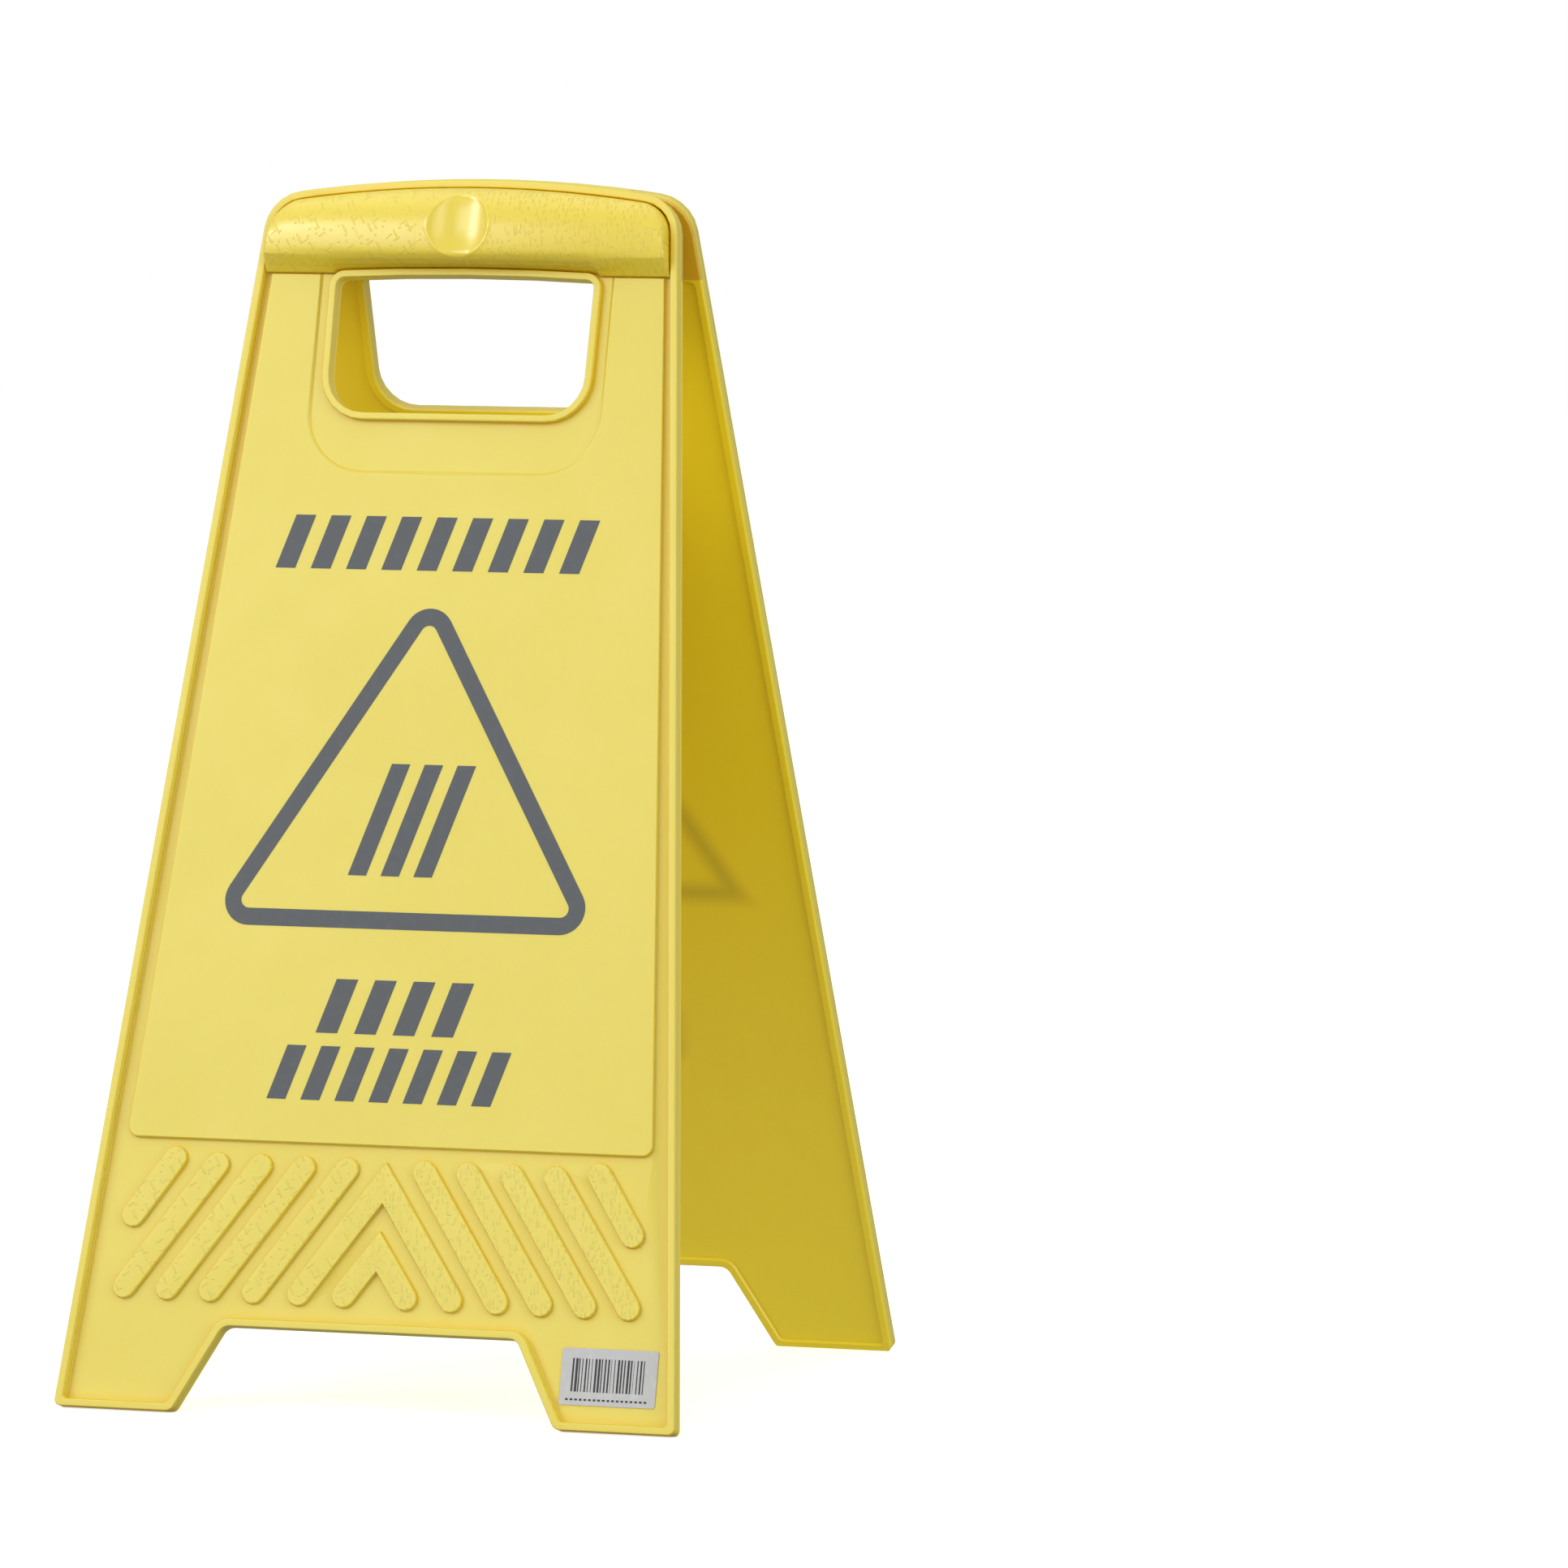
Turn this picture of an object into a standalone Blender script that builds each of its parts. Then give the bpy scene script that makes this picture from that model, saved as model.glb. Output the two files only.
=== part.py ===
"""A folding floor sign: two identical moulded panels joined by a pin hinge at the top.

Frame: metres, +Z up, the floor is Z = 0, the front panel faces -Y and the hinge runs along X.
Each panel is drawn lying in its own flat frame: x across, s up the panel from the foot, n outwards
from the inner face. It is then hung from the hinge axis and leant over by half the opening angle.
"""
import math

import bmesh
import bpy
import numpy as np

MM = 0.001
GAP = 0.0003                     # clearance between pieces that touch

# ---- driving dimensions ------------------------------------------------------------------------
LEAN = math.radians(15)          # each panel's lean from the upright when the sign is open
PANEL_LENGTH = 574 * MM          # foot to the top of the arch
MEETING_LENGTH = 575 * MM        # where the two inner faces would meet
FOOT_HALF_WIDTH = 150 * MM
SIDE_TAPER = 0.0885              # how much the half width narrows for each unit of length
THICKNESS = 8.6 * MM             # over the rims
FOOT_LAND = 2.9 * MM             # depth of the level strip that the feet stand on

ARCH_RADIUS = 610 * MM
ARCH_CORNER_RADIUS = 19 * MM
CUTOUT_HEIGHT = 40 * MM
CUTOUT_TOP_HALF = 71 * MM
CUTOUT_FOOT_HALF = 92.6 * MM

RIM_WIDTH = 3.4 * MM
WEB_INNER = 2.0 * MM             # n of the web's two faces
WEB_OUTER = 4.1 * MM
PLATE_FACE = 6.3 * MM            # n of the raised print plate and of the rib tops
RECESS_FACE = 5.4 * MM           # n of the shallow recess round the hand hole
PLATE_BOTTOM = 125.2 * MM
PLATE_TOP = 529.4 * MM
PLATE_BOTTOM_HALF = 127.4 * MM
PLATE_TOP_HALF = 96.2 * MM
PAD_BOTTOM = 528 * MM            # lower edge of the solid pad inside the panel's top

HOLE_BOTTOM = 464.2 * MM
HOLE_TOP = 527.4 * MM
HOLE_HALF = 63.2 * MM
HOLE_BOW = 1.7 * MM
RECESS_BOTTOM = 436.8 * MM
RECESS_HALF = 71.6 * MM
HOLE_RIM_WIDTH = 3.3 * MM

RIB_RADIUS = 5.5 * MM
RIB_PITCH = 21.05 * MM
RIB_COUNT = 4
RIB_TOP = 114 * MM
RIB_BOTTOM = 56.3 * MM
RIB_FIRST = 18.7 * MM            # x of the first rib's top end
RIB_LEAN = 40.2 * MM             # how far a rib's foot lies outboard of its top
SHORT_RIB = ((102.7 * MM, 116.1 * MM), (120.9 * MM, 89.1 * MM))
CHEVRONS = ((108.3 * MM, 36.8 * MM), (77.0 * MM, 15.0 * MM))   # apex s, and x of the arm ends

GRIP_BOTTOM = 530 * MM
GRIP_RIDGE = 537 * MM
GRIP_SAG = 3.2 * MM              # how much lower the ridge is in the middle
GRIP_END_RISE = 6.4 * MM         # height of the ridge above the rim, at its ends and its middle
GRIP_MIDDLE_RISE = 14 * MM
GRIP_CROWN = 0.14                # how much higher the crest is than the ridge
GRIP_CREST_AT = 0.6              # where the crest lies between the upper edge and the ridge
GRIP_END_ROUND = 1.5 * MM
GRIP_CORNER = 12.2 * MM
GRIP_SEAM = 6.7 * MM             # n of the grip's lower edge
GRIP_TURN = 0.78
GRIP_WALL = 2.6 * MM
GRIP_SEAT = 4.9 * MM             # n of the grip's flat back, above the pocket's floor fillet
GRIP_MARGIN = 0.7 * MM           # between the rim and the grip
DISH_LEVEL = 549.5 * MM
DISH_RADIUS = 15 * MM
DISH_DEPTH = 4.5 * MM

HINGE_LEVEL = 556 * MM
BARREL_RADIUS = 4.6 * MM
BARREL_START = 38 * MM
BARREL_PITCH = 9.5 * MM
BARREL_COUNT = 4
BARREL_PLAY = 0.5 * MM
PIN_RADIUS = 2.0 * MM
PIN_PLAY = 0.1 * MM              # radial play of the pin in its bores
PIN_HEAD_RADIUS = 3.4 * MM
PIN_HEAD_LENGTH = 1.4 * MM
NUT_RADIUS = 4.2 * MM
NUT_LENGTH = 0.8 * MM

SCREW_PLACES = (-86 * MM, -20 * MM, 20 * MM, 86 * MM)
SCREW_LEVEL = 545 * MM
SCREW_RADIUS = 1.75 * MM
SCREW_LENGTH = 9 * MM
SCREW_HEAD_RADIUS = 3.4 * MM
SCREW_HEAD_LENGTH = 2.2 * MM

LABEL_CORNER = (92.4 * MM, 12 * MM)
LABEL_SIZE = (45.7 * MM, 25.8 * MM)
LABEL_LIFT = 0.15 * MM
LABEL_THICKNESS = 0.2 * MM

ARC_STEPS = 5                    # segments in a rounded corner
ROUND_STEPS = 20                 # segments round a pin or a barrel

# ---- values that follow ------------------------------------------------------------------------
HINGE_OFFSET = (MEETING_LENGTH - HINGE_LEVEL) * math.tan(LEAN)     # axis to inner face
LAND_DROP = FOOT_LAND * math.sin(LEAN)
HINGE_HEIGHT = HINGE_LEVEL * math.cos(LEAN) - HINGE_OFFSET * math.sin(LEAN) - LAND_DROP


def clear_scene():
    for item in list(bpy.data.objects):
        bpy.data.objects.remove(item, do_unlink=True)


def place(x, s, n):
    """Panel coordinates to the panel object's own axes, whose origin is on the hinge axis."""
    return (x, -(n + HINGE_OFFSET), s - HINGE_LEVEL)


def make_material(name, colour, roughness, metallic=0.0):
    material = bpy.data.materials.new(name)
    material.use_nodes = True
    shader = material.node_tree.nodes["Principled BSDF"]
    shader.inputs["Base Color"].default_value = (*colour, 1.0)
    shader.inputs["Roughness"].default_value = roughness
    shader.inputs["Metallic"].default_value = metallic
    material.diffuse_color = (*colour, 1.0)
    return material


def make_object(name, mesh, material=None):
    item = bpy.data.objects.new(name, mesh)
    bpy.context.scene.collection.objects.link(item)
    if material is not None:
        mesh.materials.clear()
        mesh.materials.append(material)
    return item


# ---- outlines ----------------------------------------------------------------------------------
def offset_loop(points, inset):
    """Move a closed anticlockwise outline inwards by inset, with mitred corners."""
    here = np.asarray(points, dtype=float)
    before = here - np.roll(here, 1, axis=0)
    after = np.roll(here, -1, axis=0) - here

    def inward(edge):
        edge = edge / np.linalg.norm(edge, axis=1, keepdims=True)
        return np.stack([-edge[:, 1], edge[:, 0]], axis=1)

    first, second = inward(before), inward(after)
    lean = 1 + np.sum(first * second, axis=1, keepdims=True)
    return here + inset * (first + second) / lean


def round_corners(points, radii, steps=ARC_STEPS):
    """Replace each corner that has a radius by an arc tangent to both its sides."""
    points = np.asarray(points, dtype=float)
    result = []
    for index, corner in enumerate(points):
        radius = radii[index]
        if radius == 0:
            result.append(corner)
            continue
        back = points[index - 1] - corner
        ahead = points[(index + 1) % len(points)] - corner
        back = back / np.linalg.norm(back)
        ahead = ahead / np.linalg.norm(ahead)
        half = math.acos(np.clip(np.dot(back, ahead), -1, 1)) / 2
        start = corner + back * radius / math.tan(half)
        end = corner + ahead * radius / math.tan(half)
        bisector = (back + ahead) / np.linalg.norm(back + ahead)
        centre = corner + bisector * radius / math.sin(half)
        first = math.atan2(*(start - centre)[::-1])
        last = math.atan2(*(end - centre)[::-1])
        sweep = (last - first + math.pi) % (2 * math.pi) - math.pi
        for angle in first + sweep * np.linspace(0, 1, steps + 1):
            result.append(centre + radius * np.array([math.cos(angle), math.sin(angle)]))
    return np.array(result)


def side_at(s):
    """Half width of the panel at the length s."""
    return FOOT_HALF_WIDTH - SIDE_TAPER * s


def arch_height(x):
    return PANEL_LENGTH - ARCH_RADIUS + math.sqrt(ARCH_RADIUS ** 2 - x ** 2)


def panel_corners():
    """Corner points of the panel's outline and the radius of each."""
    foot = [(-FOOT_HALF_WIDTH, 0), (-CUTOUT_FOOT_HALF, 0), (-CUTOUT_TOP_HALF, CUTOUT_HEIGHT),
            (CUTOUT_TOP_HALF, CUTOUT_HEIGHT), (CUTOUT_FOOT_HALF, 0), (FOOT_HALF_WIDTH, 0)]
    foot_radii = [3 * MM, 4.5 * MM, 6 * MM, 6 * MM, 4.5 * MM, 3 * MM]
    corner = 100 * MM
    for _ in range(20):
        corner = side_at(arch_height(corner))
    arch = [(x, arch_height(x)) for x in np.linspace(corner - 24 * MM, 24 * MM - corner, 11)]
    points = foot + [(corner, arch_height(corner))] + arch + [(-corner, arch_height(corner))]
    radii = foot_radii + [ARCH_CORNER_RADIUS] + [0] * len(arch) + [ARCH_CORNER_RADIUS]
    return points, radii


def panel_outline():
    points, radii = panel_corners()
    return round_corners(points, radii)


def pocket_outline():
    """Inner edge of the rim, all round the panel."""
    points, _ = panel_corners()
    radii = [2 * MM, 3 * MM, 8 * MM, 8 * MM, 3 * MM, 2 * MM]
    radii += [ARCH_CORNER_RADIUS - RIM_WIDTH] + [0] * (len(points) - 8) + [ARCH_CORNER_RADIUS - RIM_WIDTH]
    return round_corners(offset_loop(points, RIM_WIDTH), radii)


def inner_pocket_outline():
    """The recess in the inner face, which stops at the solid pad."""
    points, _ = panel_corners()
    lower = [tuple(point) for point in offset_loop(points, RIM_WIDTH)[:6]]
    half = side_at(PAD_BOTTOM) - RIM_WIDTH
    corners = lower + [(half, PAD_BOTTOM), (-half, PAD_BOTTOM)]
    radii = [2 * MM, 3 * MM, 8 * MM, 8 * MM, 3 * MM, 2 * MM, 3 * MM, 3 * MM]
    return round_corners(corners, radii)


def bowed_top(half, level, bow, count=5):
    """Points from right to left along a line that rises by bow in its middle."""
    across = np.linspace(half, -half, count)
    return [(x, level + bow * (1 - (x / half) ** 2)) for x in across]


def hole_outline(grow=0.0):
    """Edge of the hand hole, or of the rim round it when grow is the rim's width."""
    half = HOLE_HALF + grow
    corners = [(-(half - 0.8 * MM), HOLE_BOTTOM - grow), (half - 0.8 * MM, HOLE_BOTTOM - grow)]
    corners += bowed_top(half, HOLE_TOP + grow, HOLE_BOW)
    radii = [18 * MM + grow] * 2 + [4 * MM + grow, 0, 0, 0, 4 * MM + grow]
    return round_corners(corners, radii, steps=6)


def recess_outline():
    """Shallow recess round the hand hole, open at the top under the grip."""
    top = PLATE_TOP + 0.4 * MM
    corners = [(-RECESS_HALF + 0.6 * MM, RECESS_BOTTOM), (0, RECESS_BOTTOM - 1.4 * MM),
               (RECESS_HALF - 0.6 * MM, RECESS_BOTTOM), (RECESS_HALF + 0.6 * MM, top),
               (-RECESS_HALF - 0.6 * MM, top)]
    return round_corners(corners, [28 * MM, 0, 28 * MM, 0, 0], steps=6)


def plate_outline():
    corners = [(-PLATE_BOTTOM_HALF, PLATE_BOTTOM), (PLATE_BOTTOM_HALF, PLATE_BOTTOM),
               (PLATE_TOP_HALF, PLATE_TOP), (-PLATE_TOP_HALF, PLATE_TOP)]
    return round_corners(corners, [5 * MM, 5 * MM, 0, 0])


def capsule(start, end, radius, steps=6):
    """A bar with round ends between two points."""
    start, end = np.array(start), np.array(end)
    heading = math.atan2(*(end - start)[::-1])
    turn = np.linspace(0, math.pi, steps + 1)
    first = [end + radius * np.array([math.cos(a), math.sin(a)]) for a in heading - math.pi / 2 + turn]
    last = [start + radius * np.array([math.cos(a), math.sin(a)]) for a in heading + math.pi / 2 + turn]
    return np.array(first + last)


def chevron(apex, reach, radius, steps=6):
    """Two bars that meet at a sharp apex above the middle and end in round feet."""
    head = np.array([0.0, apex])
    foot = np.array([reach, RIB_BOTTOM])
    along = (foot - head) / np.linalg.norm(foot - head)
    across = np.array([-along[1], along[0]])
    rise = radius / abs(along[0])
    heading = math.atan2(along[1], along[0])
    right = [foot + radius * np.array([math.cos(a), math.sin(a)])
             for a in heading + math.pi / 2 - np.linspace(0, math.pi, steps + 1)]
    right = [point for point in right]
    outer_first = np.dot(right[0] - foot, across) > 0
    right = right if outer_first else right[::-1]
    left = [np.array([-point[0], point[1]]) for point in right[::-1]]
    loop = [head + [0, rise]] + right + [head - [0, rise]] + left
    return np.array(loop[::-1])


# ---- solids in the panel's frame ---------------------------------------------------------------
def stack(outline, levels):
    """A closed solid through a pile of outlines: each level is (inset, n)."""
    shape = bmesh.new()
    rings = []
    for inset, n in levels:
        loop = offset_loop(outline, inset)
        rings.append([shape.verts.new(place(x, s, n)) for x, s in loop])
    count = len(outline)
    for lower, upper in zip(rings, rings[1:]):
        for i in range(count):
            j = (i + 1) % count
            shape.faces.new((lower[i], lower[j], upper[j], upper[i]))
    shape.faces.new(rings[0][::-1])
    shape.faces.new(rings[-1])
    return shape


def cylinder(axis, start, end, radius, across, steps=ROUND_STEPS):
    """A round bar along x or n. across gives its other two panel coordinates."""
    shape = bmesh.new()
    rings = []
    for level in (start, end):
        ring = []
        for k in range(steps):
            turn = 2 * math.pi * k / steps
            a = across[0] + radius * math.cos(turn)
            b = across[1] + radius * math.sin(turn)
            ring.append(shape.verts.new(place(level, a, b) if axis == "x" else place(a, b, level)))
        rings.append(ring)
    for k in range(steps):
        shape.faces.new((rings[0][k], rings[0][(k + 1) % steps], rings[1][(k + 1) % steps], rings[1][k]))
    shape.faces.new(rings[0][::-1])
    shape.faces.new(rings[1])
    return shape


def bar_along_x(profile, start, end):
    """A prism along x whose section is a list of (s, n) points."""
    shape = bmesh.new()
    rings = [[shape.verts.new(place(x, s, n)) for s, n in profile] for x in (start, end)]
    count = len(profile)
    for k in range(count):
        shape.faces.new((rings[0][k], rings[0][(k + 1) % count], rings[1][(k + 1) % count], rings[1][k]))
    shape.faces.new(rings[0][::-1])
    shape.faces.new(rings[1])
    return shape


def to_mesh(shape, name):
    bmesh.ops.recalc_face_normals(shape, faces=shape.faces[:])
    mesh = bpy.data.meshes.new(name)
    shape.to_mesh(mesh)
    shape.free()
    return mesh


def carve(mesh, steps):
    """Apply a chain of booleans, each ("UNION" or "DIFFERENCE", solid), and return the new mesh."""
    body = make_object("work", mesh)
    helpers = []
    for operation, shape in steps:
        helper = make_object("cutter", to_mesh(shape, "cutter"))
        helper.hide_render = True
        helper.display_type = "WIRE"
        modifier = body.modifiers.new("step", "BOOLEAN")
        modifier.operation = operation
        modifier.solver = "EXACT"
        modifier.object = helper
        helpers.append(helper)
    bpy.context.view_layer.update()
    result = bpy.data.meshes.new_from_object(body.evaluated_get(bpy.context.evaluated_depsgraph_get()))
    for item in [body] + helpers:
        bpy.data.objects.remove(item, do_unlink=True)
    shape = bmesh.new()
    shape.from_mesh(result)
    bmesh.ops.remove_doubles(shape, verts=shape.verts[:], dist=1e-6)
    bmesh.ops.dissolve_degenerate(shape, edges=shape.edges[:], dist=1e-6)
    bmesh.ops.triangulate(shape, faces=shape.faces[:])
    shape.to_mesh(result)
    shape.free()
    return result


def barrel_span(index):
    start = BARREL_START + index * BARREL_PITCH
    return start, start + BARREL_PITCH - BARREL_PLAY


def barrel_places():
    """Spans of the hinge barrels on one panel. Turned half round, they fill the gaps."""
    right = [barrel_span(index) for index in (0, 2)]
    left = [tuple(sorted((-a, -b))) for a, b in (barrel_span(index) for index in (1, 3))]
    return right + left


def rib_levels():
    return [(-0.3 * MM, WEB_OUTER - 0.6 * MM), (0.1 * MM, PLATE_FACE - 0.5 * MM), (0.5 * MM, PLATE_FACE)]


def make_panel_mesh():
    edge = 0.5 * MM
    body = stack(panel_outline(), [(edge, 0), (0, edge), (0, THICKNESS - edge), (edge, THICKNESS)])
    pocket = stack(pocket_outline(), [(1.2 * MM, WEB_OUTER), (0.5 * MM, WEB_OUTER + 0.7 * MM),
                                      (0.1 * MM, THICKNESS - edge), (-edge, THICKNESS + 0.1 * MM),
                                      (-edge, THICKNESS + 2 * MM)])
    inner_pocket = stack(inner_pocket_outline(), [(-edge, -2 * MM), (-edge, -0.1 * MM),
                                                  (0.1 * MM, edge), (0.9 * MM, WEB_INNER)])
    plate = stack(plate_outline(), rib_levels())
    recess = stack(recess_outline(), [(0.6 * MM, RECESS_FACE), (0, PLATE_FACE),
                                      (-0.2 * MM, PLATE_FACE + 2 * MM)])
    ring = stack(hole_outline(HOLE_RIM_WIDTH),
                 [(edge, 0), (0, edge), (0, THICKNESS - edge), (edge, THICKNESS)])
    hole = stack(hole_outline(), [(-edge, -2 * MM), (-edge, -0.05 * MM), (0, edge),
                                  (0, THICKNESS - edge), (-edge, THICKNESS + 0.05 * MM),
                                  (-edge, THICKNESS + 2 * MM)])
    steps = [("DIFFERENCE", pocket), ("DIFFERENCE", inner_pocket), ("UNION", plate),
             ("DIFFERENCE", recess), ("UNION", ring), ("DIFFERENCE", hole)]
    for side in (1, -1):
        for index in range(RIB_COUNT):
            top = RIB_FIRST + index * RIB_PITCH
            rib = capsule((side * top, RIB_TOP), (side * (top + RIB_LEAN), RIB_BOTTOM), RIB_RADIUS)
            steps.append(("UNION", stack(rib, rib_levels())))
        (top_x, top_s), (foot_x, foot_s) = SHORT_RIB
        rib = capsule((side * top_x, top_s), (side * foot_x, foot_s), RIB_RADIUS)
        steps.append(("UNION", stack(rib, rib_levels())))
    for apex, reach in CHEVRONS:
        steps.append(("UNION", stack(chevron(apex, reach, RIB_RADIUS), rib_levels())))
    lug = BARREL_RADIUS - 0.3 * MM
    for start, end in barrel_places():
        section = [(HINGE_LEVEL - lug, edge), (HINGE_LEVEL - lug, -HINGE_OFFSET),
                   (HINGE_LEVEL + lug, -HINGE_OFFSET), (HINGE_LEVEL + lug, edge)]
        steps.append(("UNION", bar_along_x(section, start, end)))
        barrel = cylinder("x", start, end, BARREL_RADIUS, (HINGE_LEVEL, -HINGE_OFFSET))
        steps.append(("UNION", barrel))
    reach = BARREL_START + BARREL_COUNT * BARREL_PITCH + 5 * MM
    bore = cylinder("x", -reach, reach, PIN_RADIUS + PIN_PLAY, (HINGE_LEVEL, -HINGE_OFFSET))
    steps.append(("DIFFERENCE", bore))
    for x in SCREW_PLACES:
        seat = cylinder("n", -2 * MM, SCREW_HEAD_LENGTH + 2 * GAP, SCREW_HEAD_RADIUS + GAP,
                        (x, SCREW_LEVEL))
        through = cylinder("n", -1 * MM, WEB_OUTER + 2 * MM, SCREW_RADIUS + GAP, (x, SCREW_LEVEL))
        steps += [("DIFFERENCE", seat), ("DIFFERENCE", through)]
    below = [(-8 * MM, -6 * MM), (-8 * MM, 8 * MM)]
    floor = [((LAND_DROP - n * math.sin(LEAN)) / math.cos(LEAN), n) for n in (8 * MM, -6 * MM)]
    steps.append(("DIFFERENCE", bar_along_x(below + floor, -160 * MM, 160 * MM)))
    return carve(to_mesh(body, "panel"), steps)


# ---- grip --------------------------------------------------------------------------------------
def quarter(t):
    """Rise of a quarter circle: 0 at t = 0, level at t = 1."""
    t = np.clip(t, 0, 1)
    return np.sqrt(1 - (1 - t) ** 2)


def grip_half(s):
    return side_at(s) - RIM_WIDTH - GRIP_MARGIN


def grip_top(u, margin):
    """Upper edge: the arch less the rim, dropping round the corners by a quarter circle."""
    half = grip_half(PANEL_LENGTH - 9 * MM)
    x = u * half
    arch = PANEL_LENGTH - ARCH_RADIUS + np.sqrt(ARCH_RADIUS ** 2 - x ** 2)
    corner = GRIP_CORNER * (1 - quarter((half - np.abs(x)) / GRIP_CORNER))
    return arch - RIM_WIDTH - GRIP_MARGIN - margin - corner


def grip_bottom(u, margin):
    """Lower edge: level, but lifted over the rim of the hand hole."""
    x = u * grip_half(GRIP_BOTTOM)
    outer = HOLE_HALF + HOLE_RIM_WIDTH
    rim = HOLE_TOP + HOLE_RIM_WIDTH + HOLE_BOW * (1 - (x / outer) ** 2) + GAP
    drop = (HOLE_RIM_WIDTH + 4 * MM) * (1 - quarter((outer + GAP - np.abs(x)) / (4 * MM)))
    return np.maximum(GRIP_BOTTOM, rim - drop) + margin


def grip_point(u, v, margin, wall):
    """A point of the grip's face. u runs along it from -1 to 1, v from the upper edge (0) over
    the ridge (GRIP_TURN) to the seam (1)."""
    high, low = grip_top(u, margin), grip_bottom(u, margin)
    crown = 1 - u ** 2
    ridge = np.maximum(GRIP_RIDGE - GRIP_SAG * crown, low + 0.5 * MM)
    t = np.clip(v / GRIP_TURN, 0, 1)
    w = np.clip((v - GRIP_TURN) / (1 - GRIP_TURN), 0, 1)
    along = 1 - np.cos(t * math.pi / 2) * (1 - 0.35 * t)
    s = np.where(v <= GRIP_TURN, high + (ridge - high) * along, ridge + (low - ridge) * w)
    climb = quarter(along / GRIP_CREST_AT) * (1 + GRIP_CROWN)
    past = np.clip((along - GRIP_CREST_AT) / (1 - GRIP_CREST_AT), 0, 1)
    shape = np.where(along < GRIP_CREST_AT, climb, 1 + GRIP_CROWN * (1 - past ** 2))
    rise = GRIP_END_RISE + (GRIP_MIDDLE_RISE - GRIP_END_RISE) * crown
    ends = quarter((1 - np.abs(u)) * grip_half(s) / GRIP_END_ROUND)
    top = THICKNESS - 1 * MM + (1 * MM + rise) * shape * (0.75 + 0.25 * ends)
    n = np.where(v <= GRIP_TURN, top, top + (GRIP_SEAM - top) * w)
    return u * grip_half(s), s, n - wall


def grip_solid(margin, wall, back, columns, rows):
    """Solid under the grip's face over the given columns, or the same drawn in by a wall."""
    levels = np.concatenate([np.linspace(0, GRIP_TURN, rows + 1), [0.5 * (1 + GRIP_TURN), 1]])
    shape = bmesh.new()
    front = []
    for u in columns:
        x, s, n = grip_point(u, levels, margin, wall)
        n = np.maximum(n, back + 0.4 * MM)
        front.append([shape.verts.new(place(*point)) for point in zip(x, s, n)])
    for a, b in zip(front, front[1:]):
        for k in range(len(a) - 1):
            shape.faces.new((a[k], b[k], b[k + 1], a[k + 1]))
    border = [column[0] for column in front] + front[-1][1:]
    border += [column[-1] for column in front[-2::-1]] + front[0][-2:0:-1]
    rear = [shape.verts.new((v.co.x, place(0, 0, back)[1], v.co.z)) for v in border]
    count = len(border)
    for k in range(count):
        shape.faces.new((border[k], border[(k + 1) % count], rear[(k + 1) % count], rear[k]))
    shape.faces.new(rear)
    return shape


def dish_cutter():
    """The thumb dish is a shallow piece of a sphere."""
    sphere = (DISH_RADIUS ** 2 + DISH_DEPTH ** 2) / (2 * DISH_DEPTH)
    crest = 1 * MM + GRIP_MIDDLE_RISE - 0.3 * MM
    face = THICKNESS - 1 * MM + crest * (1 + GRIP_CROWN)
    shape = bmesh.new()
    bmesh.ops.create_icosphere(shape, subdivisions=4, radius=sphere)
    centre = place(0, DISH_LEVEL, face + sphere - DISH_DEPTH)
    bmesh.ops.translate(shape, verts=shape.verts[:], vec=centre)
    return shape


def make_grip_mesh():
    back = GRIP_SEAT
    step = (HOLE_HALF + HOLE_RIM_WIDTH + GAP) / grip_half(GRIP_BOTTOM)
    extra = np.array([step + 0.005, step, step - 0.004, step - 0.012, step - 0.025, step - 0.045])
    ends = np.array([0.97, 0.985, 0.995])
    columns = np.unique(np.concatenate([np.linspace(-1, 1, 25), extra, -extra, ends, -ends]))
    body = grip_solid(0, 0, back, columns, 7)
    steps = [("DIFFERENCE", dish_cutter())]
    for side in (1, -1):
        columns = side * np.linspace(0.28, 0.80, 9)[::side]
        steps.append(("DIFFERENCE", grip_solid(2.4 * MM, GRIP_WALL, back - 2 * MM, columns, 5)))
    for x in SCREW_PLACES:
        depth = SCREW_HEAD_LENGTH + SCREW_LENGTH + 3 * GAP
        steps.append(("DIFFERENCE", cylinder("n", back - 2 * MM, depth, SCREW_RADIUS + GAP,
                                             (x, SCREW_LEVEL))))
    return carve(to_mesh(body, "grip"), steps)


# ---- hardware ----------------------------------------------------------------------------------
def turned(profile, axis, across, steps=ROUND_STEPS):
    """A turned piece: profile is (distance along the axis, radius), starting and ending at 0."""
    shape = bmesh.new()
    rings = []
    for level, radius in profile:
        count = 1 if radius == 0 else steps
        ring = []
        for k in range(count):
            turn = 2 * math.pi * k / steps
            a = across[0] + radius * math.cos(turn)
            b = across[1] + radius * math.sin(turn)
            ring.append(shape.verts.new(place(level, a, b) if axis == "x" else place(a, b, level)))
        rings.append(ring)
    for first, second in zip(rings, rings[1:]):
        for k in range(steps):
            a, b = first[k % len(first)], first[(k + 1) % len(first)]
            c, d = second[(k + 1) % len(second)], second[k % len(second)]
            corners = [v for i, v in enumerate((a, b, c, d)) if v not in (a, b, c, d)[:i]]
            shape.faces.new(corners)
    return shape


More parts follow.
